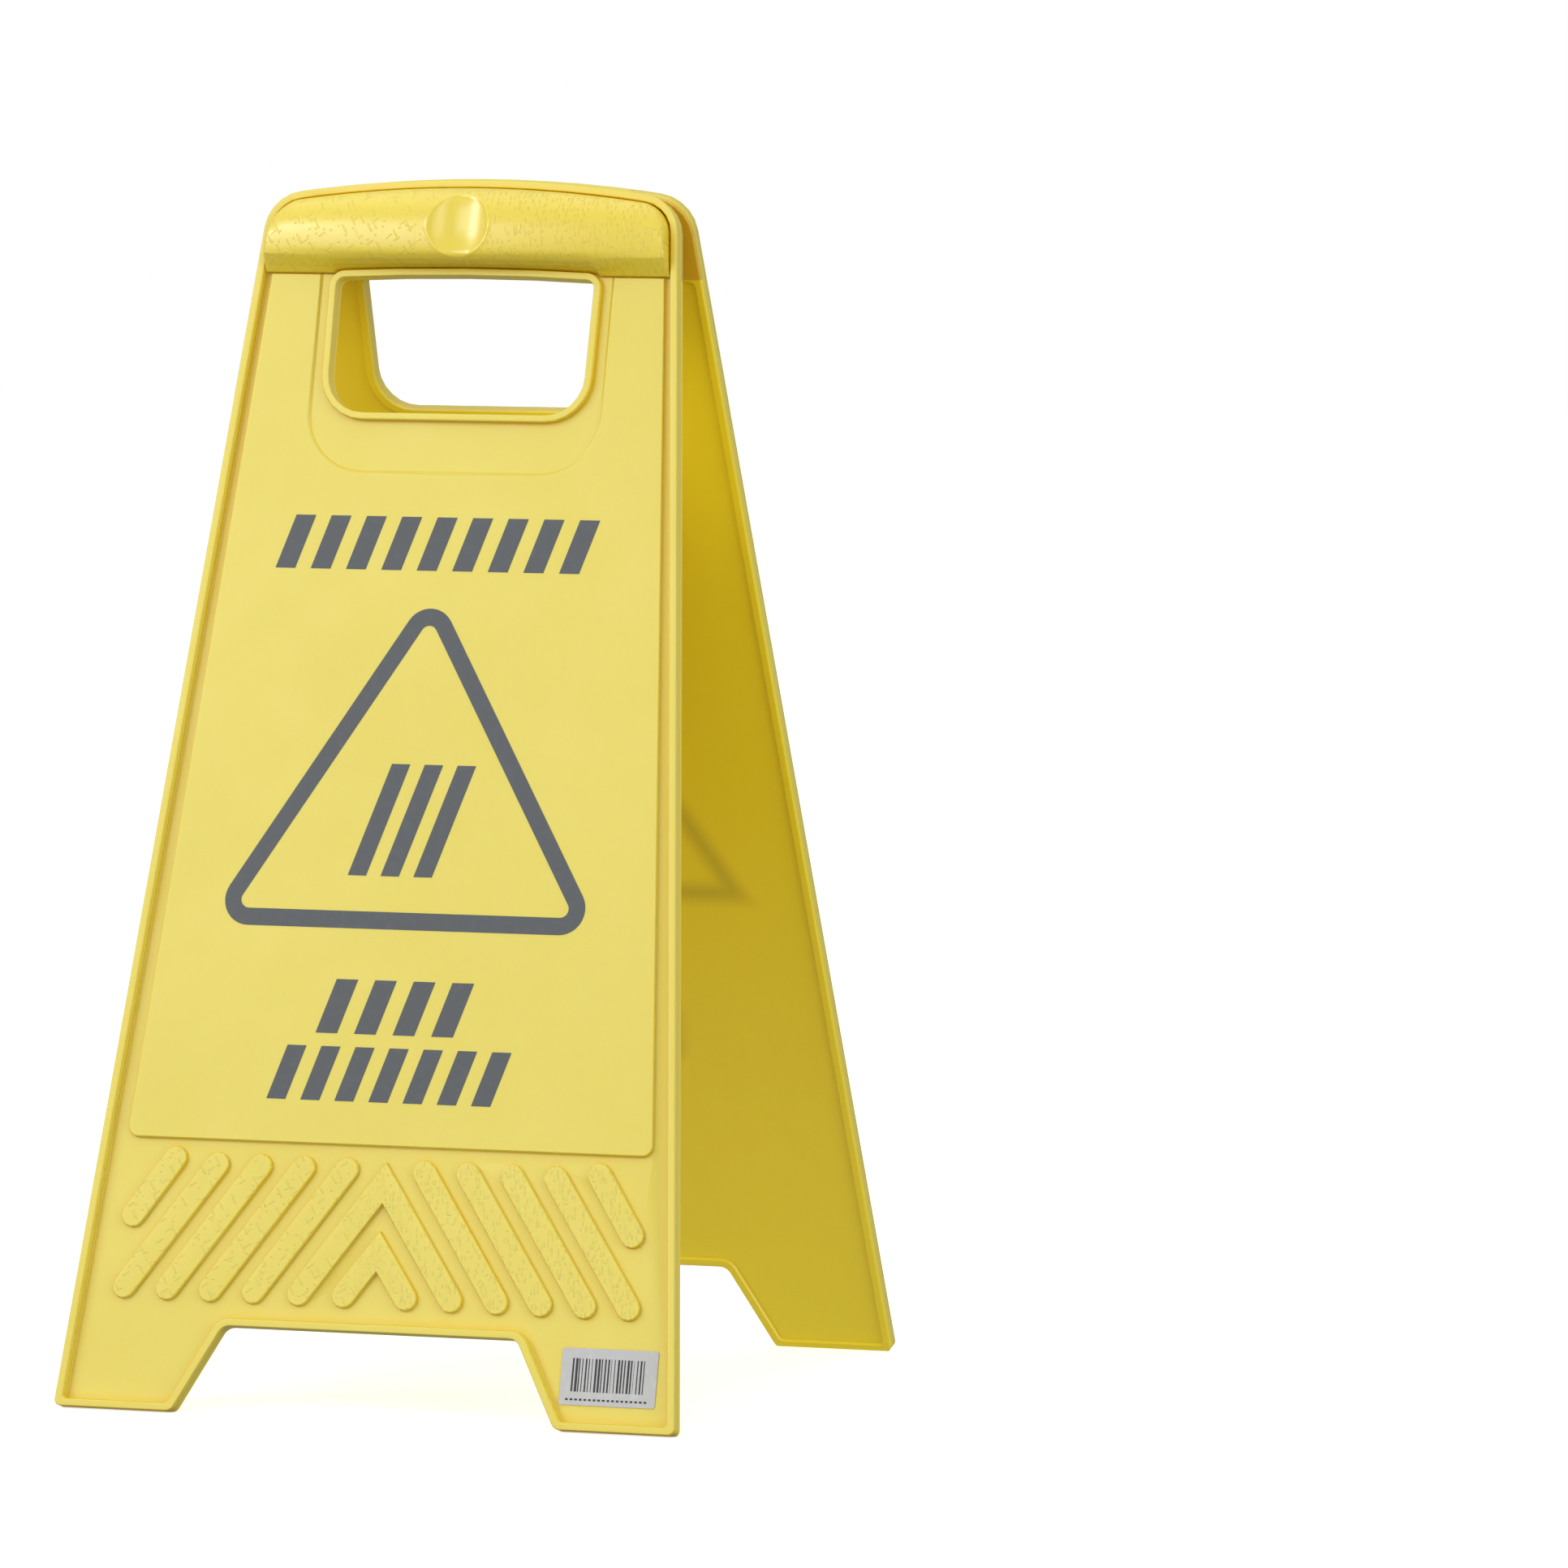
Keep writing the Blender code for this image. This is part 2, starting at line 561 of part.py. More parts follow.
def make_pin(side):
    """A plain pin: domed head at the outer end, pressed nut at the inner end."""
    outer = side * (BARREL_START + BARREL_COUNT * BARREL_PITCH - BARREL_PLAY + GAP)
    inner = side * (BARREL_START - 2.4 * MM)
    head = outer + side * PIN_HEAD_LENGTH
    profile = [(inner, 0), (inner, 0.7 * PIN_RADIUS), (inner + side * 0.5 * MM, PIN_RADIUS),
               (outer, PIN_RADIUS), (outer, PIN_HEAD_RADIUS),
               (outer + side * 0.5 * PIN_HEAD_LENGTH, PIN_HEAD_RADIUS),
               (head, 0.6 * PIN_HEAD_RADIUS), (head, 0)]
    return to_mesh(turned(profile, "x", (HINGE_LEVEL, -HINGE_OFFSET)), "pin")


def make_nut(side):
    """A pressed ring that grips the end of the pin."""
    start = side * (BARREL_START - GAP)
    end = start - side * NUT_LENGTH
    ring = turned([(start, PIN_RADIUS + GAP), (start, NUT_RADIUS), (end, NUT_RADIUS - 0.6 * MM),
                   (end, PIN_RADIUS + GAP), (start, PIN_RADIUS + GAP)], "x",
                  (HINGE_LEVEL, -HINGE_OFFSET))
    bmesh.ops.remove_doubles(ring, verts=ring.verts[:], dist=1e-7)
    return to_mesh(ring, "nut")


def make_screw(x):
    """A pan-head screw with a plain socket in its head, driven from the inner face."""
    base = 2 * GAP
    under = SCREW_HEAD_LENGTH + GAP
    tip = under + SCREW_LENGTH
    profile = [(base + 1.1 * MM, 0), (base + 1.1 * MM, 1.1 * MM), (base, 1.3 * MM),
               (base, 0.75 * SCREW_HEAD_RADIUS), (base + 0.7 * MM, SCREW_HEAD_RADIUS),
               (under, SCREW_HEAD_RADIUS), (under, SCREW_RADIUS), (tip - 1.5 * MM, SCREW_RADIUS),
               (tip - 0.3 * MM, 0)]
    return to_mesh(turned(profile, "n", (x, SCREW_LEVEL), steps=12), "screw")


def make_label():
    (x, s), (width, height) = LABEL_CORNER, LABEL_SIZE
    corners = [(x, s), (x + width, s), (x + width, s + height), (x, s + height)]
    base = WEB_OUTER + LABEL_LIFT
    return to_mesh(stack(round_corners(corners, [1 * MM] * 4, steps=3),
                         [(0, base), (0, base + LABEL_THICKNESS)]), "label")


def hang(item, turned_round):
    """Hang a piece drawn in the panel's frame from the hinge axis, on the front or the back."""
    item.location = (0, 0, HINGE_HEIGHT)
    item.rotation_euler = (-LEAN, 0, math.pi if turned_round else 0)


def smooth(item, degrees=35):
    item.data.shade_smooth()
    item.data.set_sharp_from_angle(angle=math.radians(degrees))


def build():
    clear_scene()
    yellow = make_material("panel_yellow", (0.78, 0.56, 0.06), 0.42)
    grip_yellow = make_material("grip_yellow", (0.74, 0.52, 0.05), 0.34)
    steel = make_material("zinc_steel", (0.62, 0.62, 0.60), 0.32, 1.0)
    paper = make_material("label_paper", (0.62, 0.62, 0.62), 0.5)

    panel, grip = make_panel_mesh(), make_grip_mesh()
    for name, turned_round in (("front", False), ("back", True)):
        hang(make_object(name + "_panel", panel, yellow), turned_round)
        hang(make_object(name + "_grip", grip, grip_yellow), turned_round)
        for index, x in enumerate(SCREW_PLACES):
            screw = make_object(f"{name}_grip_screw_{index + 1}", make_screw(x), steel)
            hang(screw, turned_round)
            smooth(screw)
    for name, side in (("left", -1), ("right", 1)):
        for kind, mesh in (("hinge_pin", make_pin(side)), ("push_nut", make_nut(side))):
            piece = make_object(f"{name}_{kind}", mesh, steel)
            hang(piece, False)
            smooth(piece)
    hang(make_object("stock_label", make_label(), paper), False)
    smooth(bpy.data.objects["front_panel"])
    smooth(bpy.data.objects["front_grip"])


build()
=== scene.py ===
import math

import bmesh
import bpy
import numpy as np
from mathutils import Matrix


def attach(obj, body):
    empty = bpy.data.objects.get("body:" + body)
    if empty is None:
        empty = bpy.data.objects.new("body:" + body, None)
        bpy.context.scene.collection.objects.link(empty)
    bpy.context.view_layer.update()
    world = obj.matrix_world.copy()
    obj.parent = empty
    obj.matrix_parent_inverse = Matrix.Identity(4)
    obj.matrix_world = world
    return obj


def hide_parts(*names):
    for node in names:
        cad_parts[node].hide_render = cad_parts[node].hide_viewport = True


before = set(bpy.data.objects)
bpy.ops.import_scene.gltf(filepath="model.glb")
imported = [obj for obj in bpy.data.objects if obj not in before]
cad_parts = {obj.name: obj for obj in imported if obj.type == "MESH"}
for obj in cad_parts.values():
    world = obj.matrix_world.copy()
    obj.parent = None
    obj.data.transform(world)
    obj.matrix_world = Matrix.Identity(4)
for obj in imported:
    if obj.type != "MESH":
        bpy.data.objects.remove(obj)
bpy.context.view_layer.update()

mm = 0.001

# the panel's own frame: x across, s up the slope from the feet, n outwards from the inner face
panel = {"lean": math.radians(15), "meeting": 575 * mm, "hinge": 556 * mm, "land": 2.9 * mm,
         "length": 574 * mm, "footHalf": 150 * mm, "taper": 0.0885, "thickness": 8.6 * mm,
         "rim": 3.4 * mm, "archRadius": 610 * mm, "face": 6.3 * mm,
         "holeHalf": 63.2 * mm, "holeRim": 3.3 * mm, "holeTop": 527.4 * mm, "holeBow": 1.7 * mm}
offset = (panel["meeting"] - panel["hinge"]) * math.tan(panel["lean"])
landDrop = panel["land"] * math.sin(panel["lean"])
hingeHeight = (panel["hinge"] * math.cos(panel["lean"]) - offset * math.sin(panel["lean"])
               - landDrop)


def toWorld(x, s, n, back=False):
    # hangs the point from the hinge axis and leans it by 15 degrees; the back panel is the
    # front one turned half round the upright axis
    y = -(n + offset)
    z = s - panel["hinge"]
    c, k = math.cos(panel["lean"]), math.sin(panel["lean"])
    out = np.stack(np.broadcast_arrays(x, y * c + z * k, -y * k + z * c + hingeHeight), axis=-1)
    if back:
        out[..., :2] *= -1
    return out


def newMaterial(name, **settings):
    made = bpy.data.materials.new(name)
    made.use_nodes = True
    shader = made.node_tree.nodes["Principled BSDF"]
    for key, value in settings.items():
        shader.inputs[key].default_value = value
    return made, made.node_tree, shader


def node(tree, kind, inputs=None, **settings):
    # one node with its settings; an input's value is a number, a tuple or a socket to link
    made = tree.nodes.new("ShaderNode" + kind)
    for key, value in settings.items():
        setattr(made, key, value)
    for key, value in (inputs or {}).items():
        if isinstance(value, bpy.types.NodeSocket):
            tree.links.new(value, made.inputs[key])
        else:
            made.inputs[key].default_value = value
    return made


def maths(tree, operation, a, b=0.0, clamp=False):
    return node(tree, "Math", {0: a, 1: b}, operation=operation, use_clamp=clamp).outputs[0]


def ramp(tree, value, low, high, smooth=True):
    # 0 below low, 1 above high, an S-curve between
    kind = "SMOOTHSTEP" if smooth else "LINEAR"
    return node(tree, "MapRange", {"Value": value, "From Min": low, "From Max": high},
                interpolation_type=kind).outputs[0]


def blendColour(tree, factor, a, b, mode="MIX"):
    made = tree.nodes.new("ShaderNodeMix")
    made.data_type = "RGBA"
    made.blend_type = mode
    made.inputs["Factor"].default_value = 1.0
    for index, value in ((0, factor), (6, a), (7, b)):
        if isinstance(value, bpy.types.NodeSocket):
            tree.links.new(value, made.inputs[index])
        else:
            made.inputs[index].default_value = value
    return made.outputs[2]


# the crease, inner-face, double-wall and see-through print colours below are painted light and shade,
# not colours of the plastic
yellow = {"colour": (0.78, 0.65, 0.072, 1), "pale": (0.80, 0.67, 0.085, 1),
          "creaseShade": (0.80, 0.56, 0.012, 1), "inner": (1.0, 0.77, 0.004, 1),
          "doubleWallShade": (0.70, 0.40, 0.012, 1), "printShadow": (0.36, 0.25, 0.01, 1),
          "innerLevels": (2.6 * mm, 2.2 * mm), "doubleWall": (528.6 * mm, 529.4 * mm),
          "ribLevels": (5.9 * mm, 6.2 * mm), "ribEnd": (122 * mm, 121 * mm),
          "roughness": 0.40, "bleed": 0.35, "bleedDepth": 3 * mm, "bleedColour": (1.0, 0.62, 0.08),
          "gripColour": (0.82, 0.65, 0.05, 1), "gripPale": (0.84, 0.68, 0.06, 1),
          "gripRoughness": 0.30}


def panelCoordinates(tree, back):
    # x, s and n of the point being shaded: the object's own coordinates, turned half round for
    # the back panel, moved to the hinge axis and leant back upright
    place = node(tree, "TexCoord").outputs["Object"]
    if back:
        place = node(tree, "VectorMath", {0: place, 1: (-1, -1, 1)}, operation="MULTIPLY").outputs[0]
    place = node(tree, "VectorMath", {0: place, 1: (0, 0, hingeHeight)},
                 operation="SUBTRACT").outputs[0]
    place = node(tree, "VectorRotate", {"Vector": place, "Angle": panel["lean"]},
                 rotation_type="X_AXIS").outputs[0]
    parts = node(tree, "SeparateXYZ", {0: place})
    x = parts.outputs[0]
    s = maths(tree, "ADD", parts.outputs[2], panel["hinge"])
    n = maths(tree, "SUBTRACT", maths(tree, "MULTIPLY", parts.outputs[1], -1.0), offset)
    return x, s, n


def box2d(tree, x, s, low, high, soft):
    # 1 inside the box, falling to 0 over the soft width at each side
    spans = []
    for value, a, b in ((x, low[0], high[0]), (s, low[1], high[1])):
        spans.append(ramp(tree, value, a - soft, a + soft))
        spans.append(ramp(tree, value, b + soft, b - soft))
    result = spans[0]
    for span in spans[1:]:
        result = maths(tree, "MULTIPLY", result, span)
    return result


printed = {"shift": -2.5 * mm, "top": (391 * mm, 416 * mm), "topHalf": 78 * mm,
           "low": (176 * mm, 201 * mm), "lowHalf": 37.5 * mm,
           "lowest": (145 * mm, 170 * mm), "lowestHalf": 58 * mm,
           "middle": (249 * mm, 301 * mm), "middleHalf": 24 * mm,
           "slope": 0.605, "reach": 232.7 * mm, "base": 224.5 * mm, "stroke": 8 * mm,
           "corner": 12 * mm, "lift": 0.02 * mm, "depth": 0.04 * mm}


def printShadowMask(tree, x, s, soft):
    # painted shadow of the print on the outer face, seen blurred through the plastic on the inner
    # face: three soft bands and the soft outline of a triangle, whose distance is the largest of its
    # three sides' distances
    x = maths(tree, "SUBTRACT", x, printed["shift"])
    total = None
    for half, (low, high) in ((printed["topHalf"], printed["top"]),
                              (printed["lowHalf"], printed["low"]),
                              (printed["lowestHalf"], printed["lowest"])):
        band = box2d(tree, x, s, (-half, low), (half, high), soft)
        total = band if total is None else maths(tree, "MAXIMUM", total, band)
    total = maths(tree, "MULTIPLY", total, 0.6)
    length = math.hypot(1, printed["slope"])
    side = maths(tree, "ADD", maths(tree, "ABSOLUTE", x),
                 maths(tree, "MULTIPLY", s, printed["slope"]))
    side = maths(tree, "DIVIDE", maths(tree, "SUBTRACT", side, printed["reach"]), length)
    base = maths(tree, "SUBTRACT", printed["base"], s)
    inside = maths(tree, "SMOOTH_MAX", side, base)
    inside.node.inputs[2].default_value = 8 * mm
    middle = maths(tree, "ADD", inside, printed["stroke"] / 2)
    line = ramp(tree, maths(tree, "ABSOLUTE", middle), printed["stroke"] / 2 + soft,
                printed["stroke"] / 2 - soft)
    low, high = printed["middle"]
    bars = box2d(tree, x, s, (-printed["middleHalf"], low), (printed["middleHalf"], high), 2 * soft)
    bars = maths(tree, "MULTIPLY", bars, 0.45)
    return maths(tree, "MAXIMUM", maths(tree, "MAXIMUM", total, line), bars)


recess = {"half": 71.6 * mm, "bottom": 436.8 * mm, "corner": 28 * mm, "face": 5.4 * mm,
          "edge": (-1.1 * mm, 0.7 * mm), "fade": (436 * mm, 515 * mm), "depth": 1.1 * mm}


def recessEdge(tree, x, s, n):
    # a step round the shallow recess under the hand hole, deepest at the top and fading to its
    # foot: the height rises across d = length(max(q, 0)) - corner, the distance from a rounded
    # box with q = (|x| - half + corner, bottom + corner - s)
    across = maths(tree, "SUBTRACT", maths(tree, "ABSOLUTE", x), recess["half"] - recess["corner"])
    down = maths(tree, "SUBTRACT", recess["bottom"] + recess["corner"], s)
    away = node(tree, "CombineXYZ", {0: maths(tree, "MAXIMUM", across, 0.0),
                                     1: maths(tree, "MAXIMUM", down, 0.0)}).outputs[0]
    away = node(tree, "VectorMath", {0: away}, operation="LENGTH").outputs["Value"]
    step = ramp(tree, maths(tree, "SUBTRACT", away, recess["corner"]), *recess["edge"])
    fade = maths(tree, "ADD", maths(tree, "MULTIPLY", ramp(tree, s, *recess["fade"]), 0.65), 0.35)
    above = ramp(tree, n, recess["face"] - 0.6 * mm, recess["face"] - 0.4 * mm)
    below = ramp(tree, n, panel["face"] + 0.6 * mm, panel["face"] + 0.2 * mm)
    onFace = maths(tree, "MULTIPLY", above, below)
    return maths(tree, "MULTIPLY", step, maths(tree, "MULTIPLY", fade, onFace))


def panelPlastic(name, back):
    # satin yellow plastic that lets some light in: painted shade in its creases, a painted glow of
    # light coming through on the inner face, painted shade where the wall is double and the print's
    # painted shadow seen through the wall, with a fine moulded grain all over and a tread on the ribs
    made, tree, shader = newMaterial(name, Roughness=yellow["roughness"])
    shader.inputs["IOR"].default_value = 1.5
    shader.inputs["Subsurface Weight"].default_value = yellow["bleed"]
    shader.inputs["Subsurface Radius"].default_value = yellow["bleedColour"]
    shader.inputs["Subsurface Scale"].default_value = yellow["bleedDepth"]
    shader.inputs["Specular IOR Level"].default_value = 0.72
    x, s, n = panelCoordinates(tree, back)
    place = node(tree, "TexCoord").outputs["Object"]
    cloud = node(tree, "TexNoise", {"Vector": place, "Scale": 9.0, "Detail": 3.0}).outputs["Fac"]
    colour = blendColour(tree, ramp(tree, cloud, 0.3, 0.75), yellow["colour"], yellow["pale"])
    # painted shade: ambient occlusion blends the colour toward a deeper amber in creases, where shade
    # falls
    creaseOcclusion = node(tree, "AmbientOcclusion", {"Distance": 5 * mm}, samples=8).outputs["AO"]
    colour = blendColour(tree, ramp(tree, creaseOcclusion, 0.97, 0.5), colour, yellow["creaseShade"])
    # painted light: the inner faces are blended toward a brighter, more saturated yellow that stands
    # in for light coming through the plastic and bouncing between the panels
    inner = ramp(tree, n, *yellow["innerLevels"])
    colour = blendColour(tree, maths(tree, "MULTIPLY", inner, 0.85), colour, yellow["inner"])
    # painted shade: the inner face behind the grip, where the wall is double and lets less light
    # through, is blended toward a dark amber
    upper = maths(tree, "MULTIPLY", inner, ramp(tree, s, *yellow["doubleWall"]))
    colour = blendColour(tree, maths(tree, "MULTIPLY", upper, 0.8), colour, yellow["doubleWallShade"])
    # painted shadow: the print on the outer face blocks light coming through the wall, and its blurred
    # shadow is blended into the inner face
    printShadow = maths(tree, "MULTIPLY", printShadowMask(tree, x, s, 5 * mm), inner)
    colour = blendColour(tree, maths(tree, "MULTIPLY", printShadow, 0.42), colour, yellow["printShadow"])
    smear = node(tree, "TexNoise", {"Vector": place, "Scale": 38.0, "Detail": 4.0}).outputs["Fac"]
    rough = maths(tree, "ADD", maths(tree, "MULTIPLY", smear, 0.14), yellow["roughness"] - 0.07)
    tree.links.new(rough, shader.inputs["Roughness"])
    grain = node(tree, "TexNoise", {"Vector": place, "Scale": 1500.0, "Detail": 2.0}).outputs["Fac"]
    bump = node(tree, "Bump", {"Height": grain, "Strength": 0.22, "Distance": 0.05 * mm})
    onRib = maths(tree, "MULTIPLY", ramp(tree, n, *yellow["ribLevels"]),
                  ramp(tree, s, *yellow["ribEnd"]))
    onRib = maths(tree, "MULTIPLY", onRib, ramp(tree, n, 6.9 * mm, 6.5 * mm))
    height = maths(tree, "MULTIPLY", hideRelief(tree, x, s), onRib)
    colour = blendColour(tree, maths(tree, "MULTIPLY", height, hide["paleness"]), colour, hide["pale"])
    tree.links.new(colour, shader.inputs["Base Color"])
    tread = node(tree, "Bump", {"Height": height, "Strength": 0.9, "Distance": 0.28 * mm,
                                "Normal": bump.outputs[0]})
    edge = node(tree, "Bump", {"Height": recessEdge(tree, x, s, n), "Strength": 1.0,
                               "Distance": recess["depth"], "Normal": tread.outputs[0]})
    tree.links.new(edge.outputs[0], shader.inputs["Normal"])
    return made


# each layer: turn, cell length and width, half length and half width of the bar, share left empty
hide = {"scratches": ((1.02, 8.5 * mm, 5.5 * mm, 2.6 * mm, 0.42 * mm, 0.42),
                      (-0.62, 9.5 * mm, 6.5 * mm, 1.8 * mm, 0.38 * mm, 0.30),
                      (0.0, 3.8 * mm, 3.6 * mm, 0.55 * mm, 0.55 * mm, 0.55)),
        "weave": ((1.45, 3.0 * mm, 1.9 * mm, 1.1 * mm, 0.36 * mm, 0.35),
                  (-0.5, 5.2 * mm, 4.2 * mm, 0.6 * mm, 0.5 * mm, 0.5)),
        "fine": 0.12, "paleness": 0.45, "pale": (0.90, 0.80, 0.22, 1)}


def dashes(tree, flat, turn, along, across, reach, width, chance):
    # one short bar in each cell of a jittered grid turned by an angle: cells along by across,
    # bars 2 * reach long and 2 * width wide, round-shouldered, and some cells left empty
    spot = node(tree, "VectorRotate", {"Vector": flat, "Angle": turn}, rotation_type="Z_AXIS")
    spot = node(tree, "VectorMath", {0: spot.outputs[0], 1: (1 / along, 1 / across, 0)},
                operation="MULTIPLY").outputs[0]
    cell = node(tree, "TexVoronoi", {"Vector": spot, "Scale": 1.0, "Randomness": 0.75},
                voronoi_dimensions="2D", feature="F1")
    away = node(tree, "VectorMath", {0: spot, 1: cell.outputs["Position"]}, operation="SUBTRACT")
    away = node(tree, "VectorMath", {0: away.outputs[0], 1: (along, across, 0)},
                operation="MULTIPLY").outputs[0]
    away = node(tree, "SeparateXYZ", {0: node(tree, "VectorMath", {0: away},
                                              operation="ABSOLUTE").outputs[0]})
    mark = maths(tree, "MULTIPLY", ramp(tree, away.outputs[0], reach, reach * 0.8),
                 ramp(tree, away.outputs[1], width, width * 0.3))
    pick = node(tree, "SeparateXYZ", {0: cell.outputs["Color"]}).outputs[0]
    return maths(tree, "MULTIPLY", mark, ramp(tree, pick, chance, chance + 0.1))


def hideRelief(tree, x, s):
    # a worn tread: on the left short scratches along two crossing diagonals with small dots
    # between them, passing on the right into a fine upright weave
    flat = node(tree, "CombineXYZ", {0: x, 1: s}).outputs[0]
    warp = node(tree, "TexNoise", {"Vector": flat, "Scale": 120.0}).outputs["Color"]
    warp = node(tree, "VectorMath", {0: warp, 1: (0.001, 0.001, 0)}, operation="MULTIPLY").outputs[0]
    flat = node(tree, "VectorMath", {0: flat, 1: warp}, operation="ADD").outputs[0]
    sums = []
    for layers in (hide["scratches"], hide["weave"]):
        total = None
        for layer in layers:
            mark = dashes(tree, flat, *layer)
            total = mark if total is None else maths(tree, "MAXIMUM", total, mark)
        sums.append(total)
    right = ramp(tree, x, -35 * mm, 25 * mm)
    blend = node(tree, "Mix", {"Factor": right, 2: sums[0], 3: sums[1]}, data_type="FLOAT").outputs[0]
    fine = node(tree, "TexNoise", {"Vector": flat, "Scale": 500.0, "Detail": 2.0}).outputs["Fac"]
    return maths(tree, "ADD", blend, maths(tree, "MULTIPLY", fine, hide["fine"]))


def gripPlastic(name, back):
    # the same yellow, glossier, with painted shade in its creases, scratched all over except in the
    # thumb dish
    made, tree, shader = newMaterial(name, Roughness=0.33)
    shader.inputs["Subsurface Weight"].default_value = yellow["bleed"]
    shader.inputs["Subsurface Radius"].default_value = yellow["bleedColour"]
    shader.inputs["Subsurface Scale"].default_value = yellow["bleedDepth"]
    shader.inputs["Specular IOR Level"].default_value = 0.95
    x, s, n = panelCoordinates(tree, back)
    place = node(tree, "TexCoord").outputs["Object"]
    cloud = node(tree, "TexNoise", {"Vector": place, "Scale": 14.0, "Detail": 3.0}).outputs["Fac"]
    colour = blendColour(tree, ramp(tree, cloud, 0.3, 0.75), yellow["gripColour"], yellow["gripPale"])
    # painted shade: ambient occlusion blends the colour toward a deeper amber in creases and under the
    # ridge, where shade falls
    creaseOcclusion = node(tree, "AmbientOcclusion", {"Distance": 6 * mm}, samples=8).outputs["AO"]
    colour = blendColour(tree, ramp(tree, creaseOcclusion, 0.95, 0.3), colour, yellow["creaseShade"])
    tree.links.new(colour, shader.inputs["Base Color"])
    smear = node(tree, "TexNoise", {"Vector": place, "Scale": 60.0, "Detail": 4.0}).outputs["Fac"]
    rough = maths(tree, "ADD", maths(tree, "MULTIPLY", smear, 0.12), yellow["gripRoughness"] - 0.06)
    reach = node(tree, "CombineXYZ", {0: x, 1: maths(tree, "SUBTRACT", s, grip["dishLevel"])})
    reach = node(tree, "VectorMath", {0: reach.outputs[0]}, operation="LENGTH").outputs["Value"]
    outside = ramp(tree, reach, grip["dishRadius"] + 0.3 * mm, grip["dishRadius"] + 1.2 * mm)
    polish = maths(tree, "ADD", maths(tree, "MULTIPLY", outside, 0.05), -0.05)
    tree.links.new(maths(tree, "ADD", rough, polish), shader.inputs["Roughness"])
    height = maths(tree, "MULTIPLY", hideRelief(tree, x, s), outside)
    bump = node(tree, "Bump", {"Height": height, "Strength": 0.8, "Distance": 0.25 * mm})
    tree.links.new(bump.outputs[0], shader.inputs["Normal"])
    return made


def zincPlate(name):
    # plated steel: small spangles of different roughness and a little dulling
    made, tree, shader = newMaterial(name, Metallic=1.0)
    place = node(tree, "TexCoord").outputs["Object"]
    cell = node(tree, "TexVoronoi", {"Vector": place, "Scale": 900.0}).outputs["Color"]
    shade = blendColour(tree, cell, (0.52, 0.52, 0.50, 1), (0.66, 0.66, 0.64, 1))
    tree.links.new(shade, shader.inputs["Base Color"])
    dull = node(tree, "TexNoise", {"Vector": place, "Scale": 300.0}).outputs["Fac"]
    tree.links.new(ramp(tree, dull, -0.4, 1.9), shader.inputs["Roughness"])
    return made


def inkFilm(name, colour, roughness):
    # screen-printed ink: almost even, with faint thin spots
    made, tree, shader = newMaterial(name, Roughness=roughness)
    place = node(tree, "TexCoord").outputs["Object"]
    thin = node(tree, "TexNoise", {"Vector": place, "Scale": 240.0, "Detail": 5.0}).outputs["Fac"]
    lighter = tuple(min(1.0, c * 1.12 + 0.004) for c in colour[:3]) + (1,)
    shade = blendColour(tree, ramp(tree, thin, 0.45, 0.85), colour, lighter)
    tree.links.new(shade, shader.inputs["Base Color"])
    grain = node(tree, "TexNoise", {"Vector": place, "Scale": 1800.0}).outputs["Fac"]
    bump = node(tree, "Bump", {"Height": grain, "Strength": 0.15, "Distance": 0.03 * mm})
    tree.links.new(bump.outputs[0], shader.inputs["Normal"])
    return made


grip = {"bottom": 530 * mm, "ridge": 537 * mm, "sag": 3.2 * mm, "endRise": 6.4 * mm,
        "middleRise": 14.0 * mm, "margin": 0.7 * mm, "crown": 0.14, "crestAt": 0.6,
        "seam": 6.7 * mm, "back": 4.9 * mm, "endRound": 1.5 * mm, "corner": 12.2 * mm,
        "turnAt": 0.78, "dishLevel": 549.5 * mm, "dishRadius": 15 * mm, "dishDepth": 4.3 * mm,
        "lip": 0.3 * mm, "lipWidth": 0.7 * mm, "soften": 8, "across": 460, "up": 90}


def quarter(t):
    # rise of a quarter circle: sqrt(1 - (1 - t)^2)
    return np.sqrt(1 - (1 - np.clip(t, 0, 1)) ** 2)


